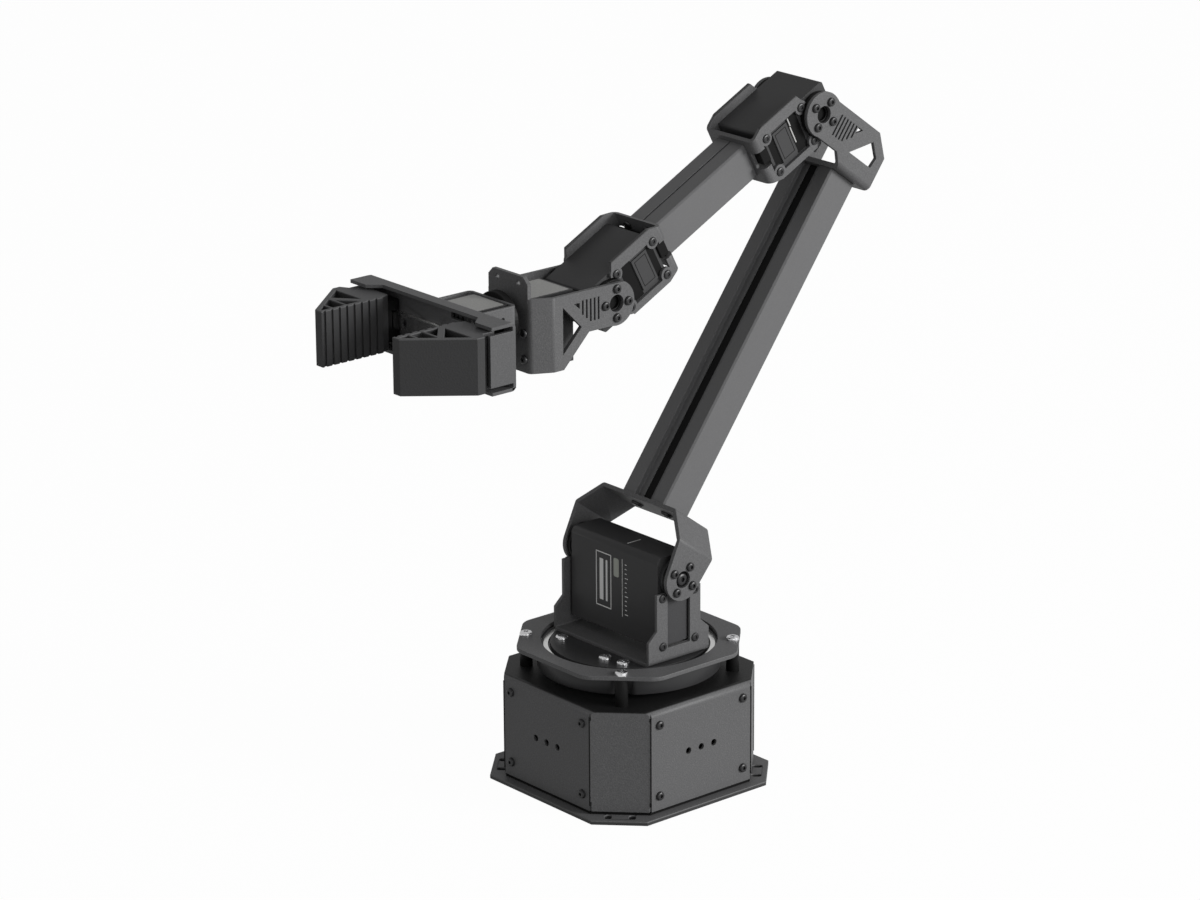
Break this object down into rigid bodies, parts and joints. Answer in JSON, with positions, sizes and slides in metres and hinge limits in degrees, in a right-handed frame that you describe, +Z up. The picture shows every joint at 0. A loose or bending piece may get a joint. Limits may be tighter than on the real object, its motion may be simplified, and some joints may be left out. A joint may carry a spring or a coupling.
{
  "type": "robot arm",
  "caption": "Desktop robot arm: a rotating base, pitching shoulder, elbow and wrist on folded brackets and tubes, a rolling wrist and a parallel two finger gripper.",
  "frame": {"origin": "on the yaw axis, at the underside of the base plate", "axes": "+X is the way the arm reaches and the gripper points, +Y is to the arm's left, +Z is up along the yaw axis"},
  "size_m": [0.2927, 0.1084, 0.3145],
  "materials": {
    "sheet_metal": "dark grey powder coat with a fine grain",
    "frame_metal": "dark grey anodised sheet, satin",
    "tube_metal": "dark grey anodised extrusion, satin",
    "turntable_metal": "black anodised, satin",
    "servo_case": "black anodised aluminium case",
    "servo_plastic": "black moulded plastic",
    "finger_plastic": "black moulded plastic, fine texture",
    "gear_plastic": "black moulded gear plastic",
    "horn_metal": "black anodised aluminium",
    "black_steel": "black oxide screws",
    "bright_steel": "bright plated screws",
    "rail_steel": "ground steel",
    "bearing_steel": "polished bearing steel",
    "cage_brass": "pressed brass"
  },
  "bodies": {
    "base": {"base_plate": "sheet_metal", "base_housing": "sheet_metal", "housing_posts": "horn_metal", "housing_screws": "black_steel", "yaw_servo": "servo_plastic", "yaw_servo_stand": "sheet_metal", "ring_standoffs": "horn_metal", "ring_plate": "sheet_metal", "ring_screws": "bright_steel", "bearing_housing": "turntable_metal", "bearing_outer_race": "bearing_steel"},
    "turret": {"bearing_inner_race": "bearing_steel", "bearing_cage": "cage_brass", "turntable": "turntable_metal", "yaw_horn": "horn_metal", "turntable_screws": "bright_steel", "shoulder_bracket": "sheet_metal", "shoulder_bracket_screws": "black_steel", "shoulder_servo": "servo_case", "shoulder_gear_cover": "servo_plastic", "shoulder_rear_cover": "servo_plastic"},
    "upper_arm": {"shoulder_horn": "horn_metal", "shoulder_idler_horn": "horn_metal", "shoulder_yoke": "sheet_metal", "shoulder_yoke_screws": "black_steel", "upper_arm_tube": "tube_metal", "upper_tube_screws": "black_steel", "elbow_bracket": "sheet_metal", "elbow_horn": "horn_metal", "elbow_idler_horn": "horn_metal", "elbow_bracket_screws": "black_steel"},
    "forearm": {"elbow_servo": "servo_case", "elbow_servo_bracket": "sheet_metal", "elbow_servo_screws": "black_steel", "forearm_tube": "tube_metal", "wrist_servo": "servo_case", "wrist_servo_bracket": "sheet_metal", "wrist_servo_screws": "black_steel"},
    "wrist": {"wrist_horn": "horn_metal", "wrist_idler_horn": "horn_metal", "wrist_bracket": "sheet_metal", "wrist_bracket_screws": "black_steel", "roll_servo": "servo_plastic", "roll_servo_screws": "black_steel"},
    "gripper": {"roll_horn": "horn_metal", "gripper_servo_bracket": "sheet_metal", "gripper_servo": "servo_plastic", "gripper_frame": "frame_metal", "guide_rail": "rail_steel", "rail_screws": "black_steel"},
    "pinion": {"gripper_pinion": "gear_plastic"},
    "left_finger": {"finger_left": "finger_plastic", "carriage_left": "horn_metal", "rack_left": "gear_plastic"},
    "right_finger": {"finger_right": "finger_plastic", "carriage_right": "horn_metal", "rack_right": "gear_plastic"}
  },
  "joints": [
    {"name": "base_yaw", "type": "hinge", "parent": "base", "child": "turret", "pos_m": [0, 0, 0.06], "axis": [0, 0, 1], "range_deg": [-120, 120]},
    {"name": "shoulder_pitch", "type": "hinge", "parent": "turret", "child": "upper_arm", "pos_m": [-0.001, 0, 0.1045], "axis": [0, -1, 0], "range_deg": [-70, 50]},
    {"name": "elbow_pitch", "type": "hinge", "parent": "upper_arm", "child": "forearm", "pos_m": [-0.10157, 0, 0.30048], "axis": [0, -1, 0], "range_deg": [-18, 150]},
    {"name": "wrist_pitch", "type": "hinge", "parent": "forearm", "child": "wrist", "pos_m": [0.02317, 0, 0.23582], "axis": [0, 1, 0], "range_deg": [-62, 85]},
    {"name": "wrist_roll", "type": "hinge", "parent": "wrist", "child": "gripper", "pos_m": [0.02317, 0, 0.23502], "axis": [1, 0, 0], "range_deg": [-120, 120]},
    {"name": "left_finger_slide", "type": "slide", "parent": "gripper", "child": "left_finger", "axis": [0, -1, 0], "range_m": [0, 0.0245]},
    {"name": "right_finger_slide", "type": "slide", "parent": "gripper", "child": "right_finger", "axis": [0, 1, 0], "range_m": [0, 0.0245]},
    {"name": "pinion_spin", "type": "hinge", "parent": "gripper", "child": "pinion", "pos_m": [0.10317, 0, 0.23502], "axis": [1, 0, 0], "range_deg": [-1, 178]}
  ],
  "couplings": [
    {"joint": "right_finger_slide", "follows": "left_finger_slide", "ratio": 1},
    {"joint": "pinion_spin", "follows": "left_finger_slide", "rad_per_m": 125}
  ]
}
